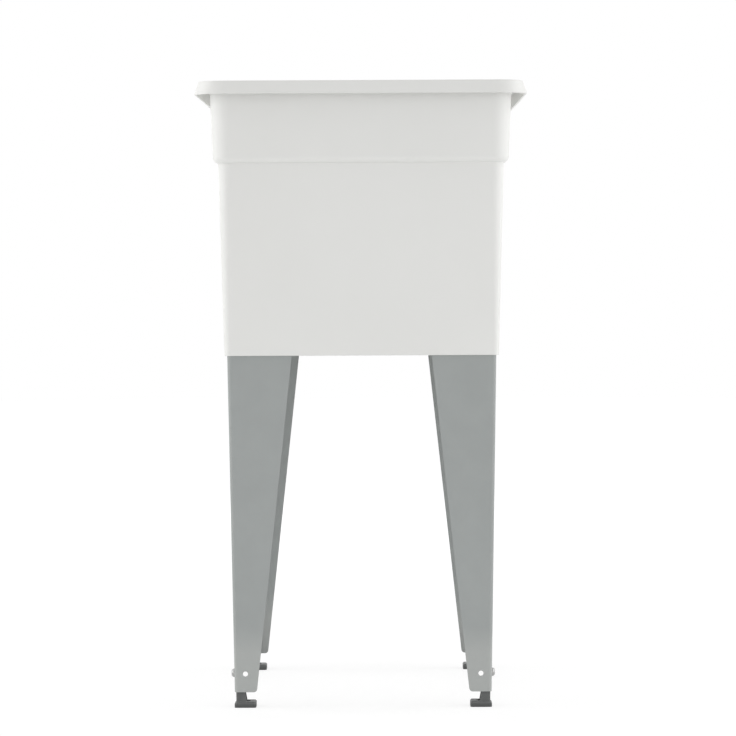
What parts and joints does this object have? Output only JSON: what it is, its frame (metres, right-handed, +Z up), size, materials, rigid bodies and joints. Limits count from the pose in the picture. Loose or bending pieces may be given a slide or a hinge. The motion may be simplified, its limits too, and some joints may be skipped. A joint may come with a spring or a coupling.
{
  "type": "utility laundry sink",
  "caption": "Free-standing moulded plastic laundry sink with a faucet deck, tapered folded-steel legs, levelling feet and a drain with a lift-out stopper.",
  "frame": {"origin": "on the floor under the middle of the rim", "axes": "+Z up, -Y to the front narrow side, +X to the right seen from the front"},
  "size_m": [0.4564, 0.6088, 0.8636],
  "materials": {
    "tub_plastic": "white satin polypropylene, fine moulded grain",
    "leg_paint": "grey powder coat, low gloss",
    "foot_plastic": "dark grey moulded plastic",
    "zinc_steel": "zinc plated",
    "drain_plastic": "light grey moulded plastic",
    "friction_plastic": "natural plastic",
    "rubber": "black rubber",
    "ring_steel": "polished wire"
  },
  "bodies": {
    "root": {"tub": "tub_plastic", "leg_front_left": "leg_paint", "leg_screws_front_left": "zinc_steel", "leveller_bolt_front_left": "zinc_steel", "leveller_washer_front_left": "zinc_steel", "leveller_nut_front_left": "zinc_steel", "leg_front_right": "leg_paint", "leg_screws_front_right": "zinc_steel", "leveller_bolt_front_right": "zinc_steel", "leveller_washer_front_right": "zinc_steel", "leveller_nut_front_right": "zinc_steel", "leg_rear_left": "leg_paint", "leg_screws_rear_left": "zinc_steel", "leveller_bolt_rear_left": "zinc_steel", "leveller_washer_rear_left": "zinc_steel", "leveller_nut_rear_left": "zinc_steel", "leg_rear_right": "leg_paint", "leg_screws_rear_right": "zinc_steel", "leveller_bolt_rear_right": "zinc_steel", "leveller_washer_rear_right": "zinc_steel", "leveller_nut_rear_right": "zinc_steel", "drain_body": "drain_plastic", "drain_seal": "rubber", "drain_washer": "rubber", "drain_friction_ring": "friction_plastic", "drain_locknut": "drain_plastic"},
    "foot_front_left": {"leveller_front_left": "foot_plastic"},
    "foot_front_right": {"leveller_front_right": "foot_plastic"},
    "foot_rear_left": {"leveller_rear_left": "foot_plastic"},
    "foot_rear_right": {"leveller_rear_right": "foot_plastic"},
    "stopper": {"drain_stopper": "rubber"},
    "pull_ring": {"stopper_ring": "ring_steel"}
  },
  "joints": [
    {"name": "foot_slide_front_left", "type": "slide", "parent": "root", "child": "foot_front_left", "axis": [-0.0161, -0.0161, 0.9997], "range_m": [-0.012, 0.012]},
    {"name": "foot_slide_front_right", "type": "slide", "parent": "root", "child": "foot_front_right", "axis": [0.0161, -0.0161, 0.9997], "range_m": [-0.012, 0.012]},
    {"name": "foot_slide_rear_left", "type": "slide", "parent": "root", "child": "foot_rear_left", "axis": [-0.0161, 0.0161, 0.9997], "range_m": [-0.012, 0.012]},
    {"name": "foot_slide_rear_right", "type": "slide", "parent": "root", "child": "foot_rear_right", "axis": [0.0161, 0.0161, 0.9997], "range_m": [-0.012, 0.012]},
    {"name": "stopper_lift", "type": "slide", "parent": "root", "child": "stopper", "axis": [0, 0, 1], "range_m": [0, 0.36]},
    {"name": "pull_ring_swing", "type": "hinge", "parent": "stopper", "child": "pull_ring", "pos_m": [0, -0.04257, 0.5532], "axis": [1, 0, 0], "range_deg": [0, 180]}
  ]
}
